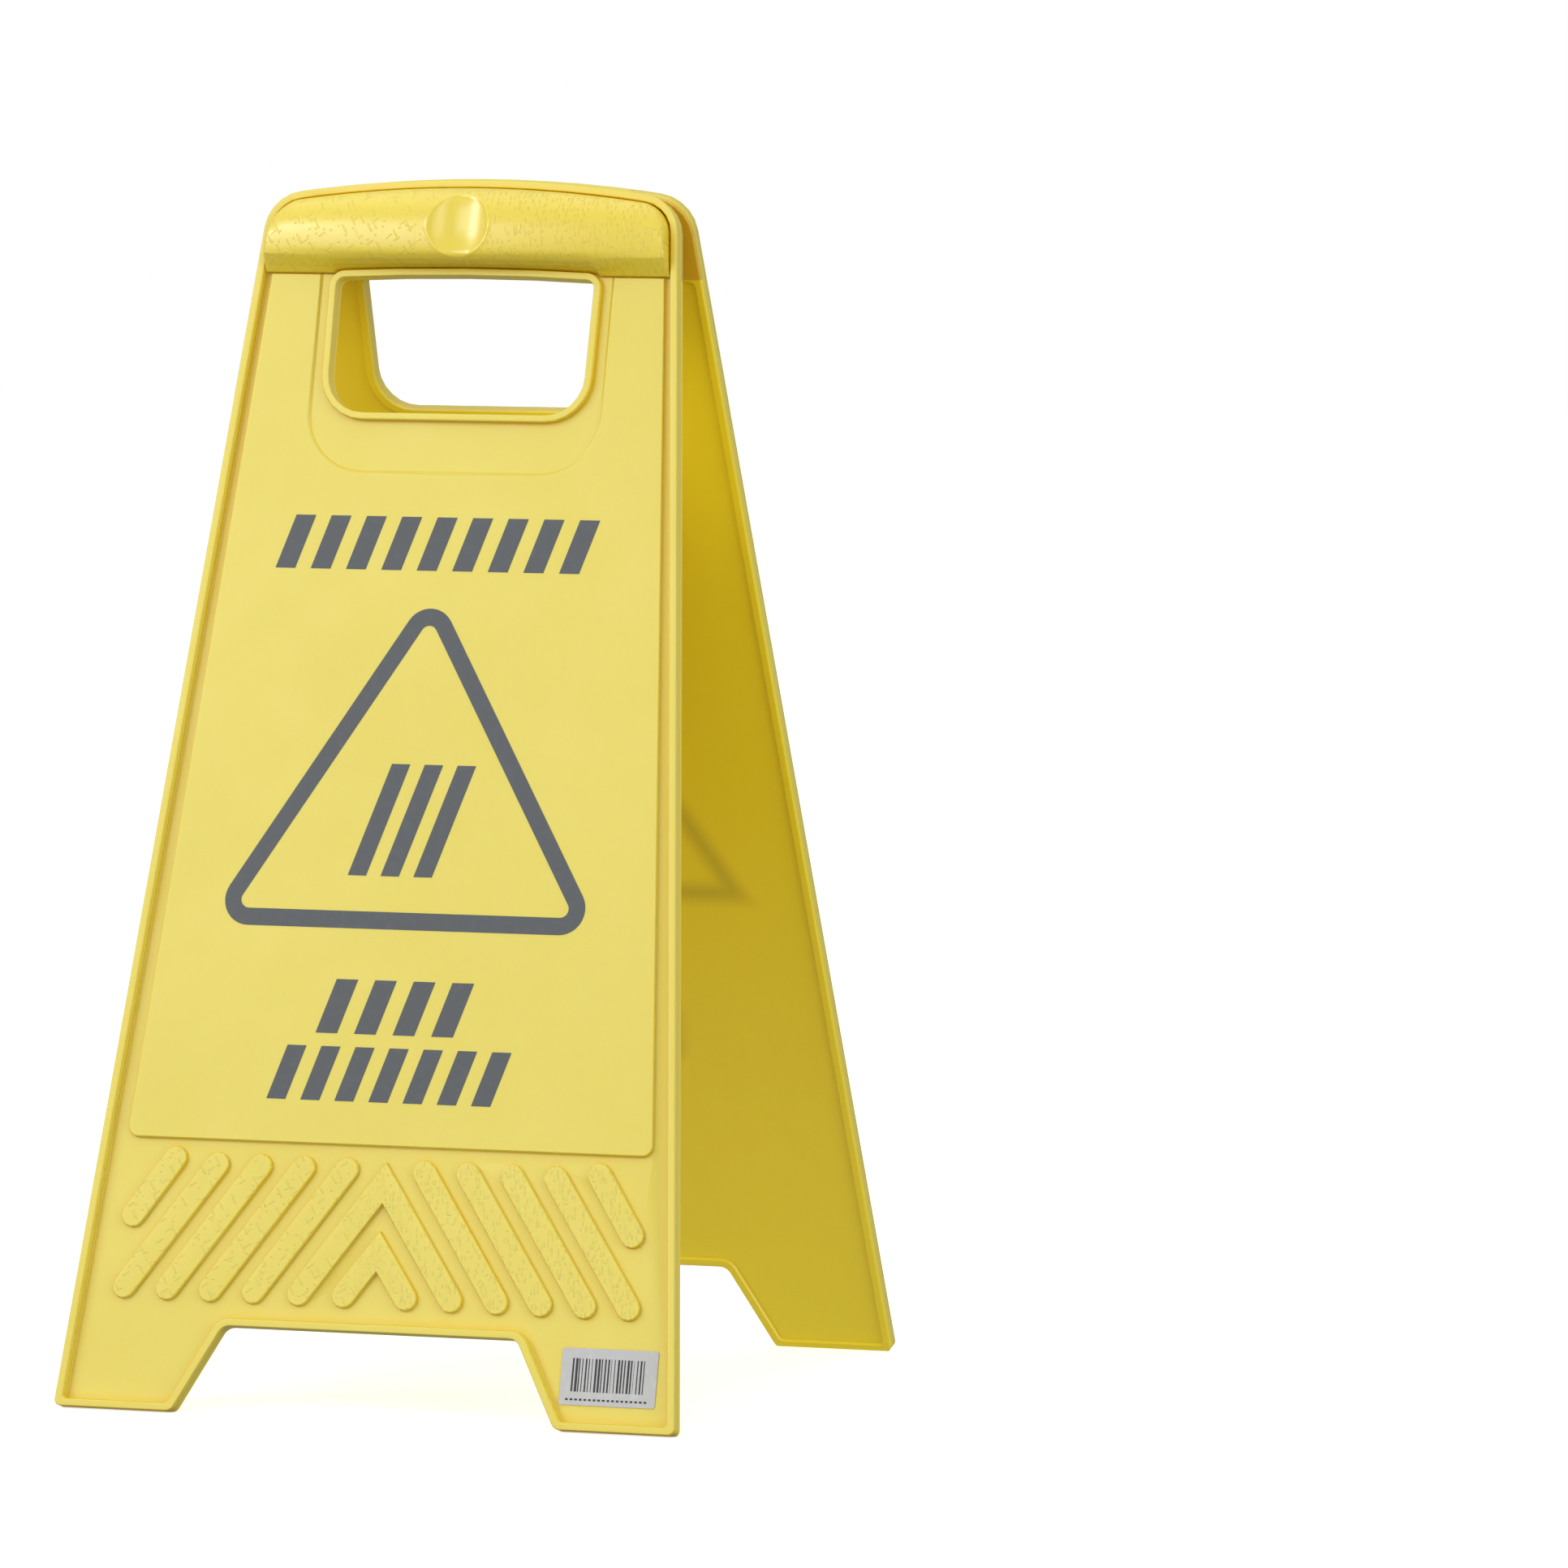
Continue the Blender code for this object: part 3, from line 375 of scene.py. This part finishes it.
def gripSurface(u, v):
    # u runs along the grip from -1 to 1, v from the upper edge (0) over the ridge to the seam (1).
    # Upper edge: the panel's arch less the rim, dropping round each end by a quarter circle.
    # Height: rises from the rim as a quarter ellipse to a crest, sinks as a parabola to the ridge,
    # then falls in a straight undercut slope to the seam; the ridge is crisp at the ends and
    # softened in the middle by a moving average over v, weighted with a bell curve of v - turnAt.
    # The thumb dish takes a paraboloid depth * (1 - (r/R)^2) out of it and leaves a low round lip,
    # a bell curve of r - R.
    def half(level):
        return panel["footHalf"] - panel["taper"] * level - panel["rim"] - grip["margin"]
    reach = half(panel["length"] - 9 * mm)
    x = u * reach
    arch = panel["length"] - panel["archRadius"] + np.sqrt(panel["archRadius"] ** 2 - x ** 2)
    end = quarter((reach - np.abs(x)) / grip["corner"])
    high = arch - panel["rim"] - grip["margin"] - grip["corner"] * (1 - end)
    x = u * half(grip["bottom"])
    outer = panel["holeHalf"] + panel["holeRim"]
    over = panel["holeTop"] + panel["holeRim"] + panel["holeBow"] * (1 - (x / outer) ** 2) + 0.3 * mm
    side = (panel["holeRim"] + 4 * mm) * (1 - quarter((outer + 0.3 * mm - np.abs(x)) / (4 * mm)))
    low = np.maximum(grip["bottom"], over - side)
    crown = 1 - u ** 2
    ridge = np.maximum(grip["ridge"] - grip["sag"] * crown, low + 0.5 * mm)
    t = np.clip(v / grip["turnAt"], 0, 1)
    w = np.clip((v - grip["turnAt"]) / (1 - grip["turnAt"]), 0, 1)
    along = 1 - np.cos(t * math.pi / 2) * (1 - 0.35 * t)
    s = np.where(v <= grip["turnAt"], high + (ridge - high) * along, ridge + (low - ridge) * w)
    climb = quarter(along / grip["crestAt"]) * (1 + grip["crown"])
    past = np.clip((along - grip["crestAt"]) / (1 - grip["crestAt"]), 0, 1)
    shape = np.where(along < grip["crestAt"], climb, 1 + grip["crown"] * (1 - past ** 2))
    rise = grip["endRise"] + (grip["middleRise"] - grip["endRise"]) * crown
    ends = quarter((1 - np.abs(u)) * half(s) / grip["endRound"])
    top = panel["thickness"] - 1 * mm + (1 * mm + rise) * shape * (0.75 + 0.25 * ends)
    n = np.where(v <= grip["turnAt"], top, top + (grip["seam"] - top) * w)
    near = np.exp(-((v - grip["turnAt"]) / 0.09) ** 2) * np.clip(1.5 * crown, 0, 1)
    window = range(-grip["soften"], grip["soften"] + 1)
    s, n = [level + near * (sum(np.roll(level, k, axis=-1) for k in window) / len(window) - level)
            for level in (s, n)]
    x = u * half(s)
    r = np.hypot(x, s - grip["dishLevel"])
    bowl = grip["dishDepth"] * np.clip(1 - (r / grip["dishRadius"]) ** 2, 0, 1)
    lip = grip["lip"] * np.exp(-((r - grip["dishRadius"]) / grip["lipWidth"]) ** 2)
    n = n + np.where(v <= grip["turnAt"], lip - bowl, 0)
    return x, s, n


def meshPiece(name, points, faces, material, body, smooth=True, sharp=None):
    mesh = bpy.data.meshes.new(name)
    mesh.from_pydata(points.tolist(), [], faces)
    shape = bmesh.new()
    shape.from_mesh(mesh)
    bmesh.ops.remove_doubles(shape, verts=shape.verts[:], dist=1e-7)
    bmesh.ops.recalc_face_normals(shape, faces=shape.faces[:])
    shape.to_mesh(mesh)
    shape.free()
    if smooth:
        mesh.shade_smooth()
        if sharp is not None:
            mesh.set_sharp_from_angle(angle=math.radians(sharp))
    mesh.materials.append(material)
    made = bpy.data.objects.new(name, mesh)
    bpy.context.scene.collection.objects.link(made)
    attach(made, body)
    return made


def gripShell(name, material, body, back):
    # the outer surface on a grid, closed by a skirt down to the flat back and by the back itself
    count, rows = grip["across"], grip["up"]
    spread = np.linspace(-1, 1, count)
    u = np.sin(spread * math.pi / 2) * 0.25 + spread * 0.75
    grid = np.meshgrid(u, np.linspace(0, 1, rows), indexing="ij")
    x, s, n = gripSurface(*grid)
    x = np.pad(x, 1, mode="edge")
    s = np.pad(s, 1, mode="edge")
    n = np.pad(n, 1, constant_values=grip["back"])
    points = toWorld(x, s, n, back).reshape(-1, 3)
    wide, tall = x.shape
    i, j = np.meshgrid(np.arange(wide - 1), np.arange(tall - 1), indexing="ij")
    a = (i * tall + j).ravel()
    faces = np.stack([a, a + tall, a + tall + 1, a + 1], axis=1).tolist()
    border = ([k * tall for k in range(wide)] + [(wide - 1) * tall + k for k in range(1, tall)]
              + [k * tall + tall - 1 for k in range(wide - 2, -1, -1)]
              + list(range(tall - 2, 0, -1)))
    faces.append(border)
    return meshPiece(name, points, faces, material, body, sharp=38)


def smoothPanel(name, cad, material, body):
    # the moulding as one closed skin: merged, its flat areas joined up, its narrow chamfers shaded
    # into the faces beside them so that every edge looks rounded
    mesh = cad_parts[cad].data.copy()
    shape = bmesh.new()
    shape.from_mesh(mesh)
    bmesh.ops.remove_doubles(shape, verts=shape.verts[:], dist=1e-6)
    bmesh.ops.dissolve_limit(shape, angle_limit=math.radians(0.5), verts=shape.verts[:],
                             edges=shape.edges[:])
    shape.to_mesh(mesh)
    shape.free()
    mesh.materials.clear()
    mesh.materials.append(material)
    mesh.polygons.foreach_set("material_index", np.zeros(len(mesh.polygons), dtype=np.int32))
    mesh.shade_smooth()
    mesh.set_sharp_from_angle(angle=math.radians(52))
    made = bpy.data.objects.new(name, mesh)
    bpy.context.scene.collection.objects.link(made)
    weigh = made.modifiers.new("evenShading", "WEIGHTED_NORMAL")
    weigh.keep_sharp = True
    weigh.weight = 90
    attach(made, body)
    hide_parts(cad)


def plates(outlines, low, high):
    # thin plates: each outline of (x, s) points makes a closed solid between the two levels
    points, faces = [], []
    for outline in outlines:
        outline = np.asarray(outline)
        start, count = sum(len(p) for p in points), len(outline)
        for level in (low, high):
            points.append(np.column_stack([outline, np.full(count, level)]))
        faces.append([start + k for k in range(count)][::-1])
        faces.append([start + count + k for k in range(count)])
        for k in range(count):
            m = (k + 1) % count
            faces.append([start + k, start + m, start + count + m, start + count + k])
    return np.concatenate(points), faces


def slantedRow(low, high, half, count, lean=0.32, fill=0.56):
    # a row of equal leaning bars from side to side between the levels low and high
    pitch = 2 * half / count
    width = pitch * fill
    shift = (high - low) * lean / 2
    bars = []
    for k in range(count):
        x = -half + (k + 0.5) * pitch
        bars.append([(x - width / 2 - shift, low), (x + width / 2 - shift, low),
                     (x + width / 2 + shift, high), (x - width / 2 + shift, high)])
    return bars


def triangleRing(step=12):
    # a rounded triangle and the same drawn in by the stroke, joined by a band of faces
    def rounded(inset, radius):
        length = math.hypot(1, printed["slope"])
        reach = printed["reach"] - inset * length
        base = printed["base"] + inset
        foot = reach - printed["slope"] * base
        corners = [(-foot, base), (foot, base), (0, reach / printed["slope"])]
        loop = []
        for index in range(3):
            corner = np.array(corners[index])
            to = [np.array(corners[index - 1]) - corner, np.array(corners[(index + 1) % 3]) - corner]
            to = [way / np.linalg.norm(way) for way in to]
            half = math.acos(np.dot(*to)) / 2
            middle = (to[0] + to[1]) / np.linalg.norm(to[0] + to[1])
            centre = corner + middle * radius / math.sin(half)
            first = corner + to[0] * radius / math.tan(half) - centre
            last = corner + to[1] * radius / math.tan(half) - centre
            a, b = math.atan2(first[1], first[0]), math.atan2(last[1], last[0])
            sweep = (b - a) % (2 * math.pi)
            turn = a + sweep * np.linspace(0, 1, step)
            loop.append(centre + radius * np.column_stack([np.cos(turn), np.sin(turn)]))
        return np.concatenate(loop)
    stroke, corner = printed["stroke"], printed["corner"]
    return rounded(0, corner), rounded(stroke, corner - stroke)


def printPiece(name, material, body, back):
    # rows of bars above, inside and below the triangle, as thin plates, and the triangle as a
    # band of four loops: outer low, outer high, inner high, inner low
    shift = np.array([printed["shift"], 0])
    outlines = slantedRow(*printed["top"], printed["topHalf"], 9)
    outlines += slantedRow(*printed["low"], printed["lowHalf"], 4)
    outlines += slantedRow(*printed["lowest"], printed["lowestHalf"], 7)
    outlines += slantedRow(*printed["middle"], printed["middleHalf"], 3)
    low = panel["face"] + printed["lift"]
    high = low + printed["depth"]
    points, faces = plates([np.array(o) + shift for o in outlines], low, high)
    outer, inner = triangleRing()
    count, start = len(outer), len(points)
    loops = [np.column_stack([loop + shift, np.full(count, level)])
             for loop, level in ((outer, low), (outer, high), (inner, high), (inner, low))]
    points = np.concatenate([points] + loops)
    for ring in range(4):
        after = (ring + 1) % 4
        for k in range(count):
            m = (k + 1) % count
            faces.append([start + ring * count + k, start + ring * count + m,
                          start + after * count + m, start + after * count + k])
    placed = toWorld(points[:, 0], points[:, 1], points[:, 2], back)
    meshPiece(name, placed, faces, material, body, smooth=False)


label = {"corner": (92.4 * mm, 12 * mm), "top": 4.45 * mm, "dash": 1.3 * mm, "dashPitch": 2.2 * mm,
         "bars": 23, "barSpan": (5.2 * mm, 40.6 * mm), "barLevels": (6.1 * mm, 21.2 * mm),
         "line": (3.0 * mm, 42.6 * mm), "lineLevels": (2.1 * mm, 3.0 * mm)}


def labelInk(name, material):
    # ruled bars whose widths follow two slow waves, and a row of short dashes under them
    k = np.arange(label["bars"])
    low, high = label["barSpan"]
    pitch = (high - low) / label["bars"]
    width = pitch * (0.42 + 0.2 * np.sin(k * 1.9) + 0.14 * np.sin(k * 0.83 + 1))
    left = low + k * pitch
    x0, s0 = label["corner"]
    a, b = label["barLevels"]
    bars = [[(x0 + l, s0 + a), (x0 + l + w, s0 + a), (x0 + l + w, s0 + b), (x0 + l, s0 + b)]
            for l, w in zip(left, width)]
    a, b = label["lineLevels"]
    for l in np.arange(label["line"][0], label["line"][1], label["dashPitch"]):
        r = l + label["dash"]
        bars.append([(x0 + l, s0 + a), (x0 + r, s0 + a), (x0 + r, s0 + b), (x0 + l, s0 + b)])
    points, faces = plates(bars, label["top"] + 0.02 * mm, label["top"] + 0.05 * mm)
    placed = toWorld(points[:, 0], points[:, 1], points[:, 2])
    meshPiece(name, placed, faces, material, "front", smooth=False)


print("panels")
for side, back in (("front", False), ("back", True)):
    plastic = panelPlastic(side + "PanelPlastic", back)
    smoothPanel(side + "_moulding", side + "_panel", plastic, side)
    shell = gripShell(side + "_grip_shell", gripPlastic(side + "GripPlastic", back), side, back)
    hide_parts(side + "_grip")

print("print and label")
signInk = inkFilm("signInk", (0.080, 0.088, 0.095, 1), 0.5)
printPiece("front_print", signInk, "front", False)
printPiece("back_print", signInk, "back", True)
labelInk("label_print", inkFilm("labelInk", (0.02, 0.02, 0.02, 1), 0.45))

print("hardware")
zinc = zincPlate("zincPlate")
film = inkFilm("labelFilm", (0.52, 0.52, 0.52, 1), 0.38)
for name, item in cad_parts.items():
    if "screw" in name or "pin" in name or "nut" in name or name == "stock_label":
        item.data.materials.clear()
        item.data.materials.append(film if name == "stock_label" else zinc)

print("stage")
stage = {"floorHalf": 9.0, "floorColour": (0.75, 0.75, 0.75, 1), "floorGlow": 0.62,
         "skyLight": 0.80, "skyDark": 0.22, "brightSide": (-0.2, -0.35, 0.91),
         "cameraPlace": (1.752, -4.652, 0.69025), "cameraTurn": (85.243, 0, 19.027), "lens": 247.7}


# place, aim, size and power of each lamp: a broad key, a side lamp, one overhead, and two smaller
# ones for the highlights in the thumb dish
lights = {"keyPanel": ((-1.40, -2.58, 1.62), (0, 0, 0.3), (1.4, 1.4), 18),
          "sidePanel": ((2.6, -1.0, 0.75), (0, 0, 0.25), (1.8, 1.4), 21),
          "topPanel": ((-0.4, 0.5, 2.6), (0, 0, 0.3), (2.4, 2.0), 8),
          "frontPanel": ((0.85, -2.44, 2.11), (0, 0, 0.5), (0.75, 0.75), 4.5),
          "leftPanel": ((-2.18, -1.61, 1.86), (0, 0, 0.5), (0.8, 0.8), 16)}


def makeFloor():
    mesh = bpy.data.meshes.new("floor")
    h = stage["floorHalf"]
    mesh.from_pydata([(-h, -h, 0), (h, -h, 0), (h, h, 0), (-h, h, 0)], [], [(0, 1, 2, 3)])
    made, tree, shader = newMaterial("paleFloor", Roughness=0.6)
    shader.inputs["Base Color"].default_value = stage["floorColour"]
    shader.inputs["Emission Color"].default_value = (1, 1, 1, 1)
    shader.inputs["Emission Strength"].default_value = stage["floorGlow"]
    mesh.materials.append(made)
    floor = bpy.data.objects.new("floor", mesh)
    bpy.context.scene.collection.objects.link(floor)
    floor.visible_diffuse = False
    floor.visible_glossy = False


def makeLight(name, place, aim, size, power):
    data = bpy.data.lights.new(name, "AREA")
    data.shape = "RECTANGLE"
    data.size, data.size_y = size
    data.energy = power
    lamp = bpy.data.objects.new(name, data)
    bpy.context.scene.collection.objects.link(lamp)
    away = np.array(place) - np.array(aim)
    lamp.location = place
    lamp.rotation_euler = (math.atan2(math.hypot(away[0], away[1]), away[2]), 0,
                           math.atan2(away[1], away[0]) + math.pi / 2)


def makeSky():
    world = bpy.data.worlds.new("studio")
    bpy.context.scene.world = world
    world.use_nodes = True
    tree = world.node_tree
    tree.nodes.clear()
    out = node(tree, "OutputWorld")
    seen = node(tree, "LightPath").outputs["Is Camera Ray"]
    way = node(tree, "TexCoord").outputs["Generated"]
    toKey = node(tree, "VectorMath", {0: way, 1: stage["brightSide"]},
                 operation="DOT_PRODUCT").outputs["Value"]
    level = node(tree, "MapRange", {"Value": toKey, "From Min": -1.0, "From Max": 1.0,
                                    "To Min": stage["skyDark"],
                                    "To Max": stage["skyLight"]}).outputs[0]
    strength = maths(tree, "MAXIMUM", level, seen)
    glow = node(tree, "Background", {"Color": (1, 1, 1, 1), "Strength": strength})
    tree.links.new(glow.outputs[0], out.inputs["Surface"])


makeFloor()
makeSky()
for name, light in lights.items():
    makeLight(name, *light)

camera = bpy.data.cameras.new("camera")
camera.lens = stage["lens"]
camera.sensor_width = 36
camera.clip_end = 60
seat = bpy.data.objects.new("camera", camera)
bpy.context.scene.collection.objects.link(seat)
seat.location = stage["cameraPlace"]
seat.rotation_euler = [math.radians(a) for a in stage["cameraTurn"]]
bpy.context.scene.camera = seat
bpy.context.scene.view_settings.view_transform = "Standard"
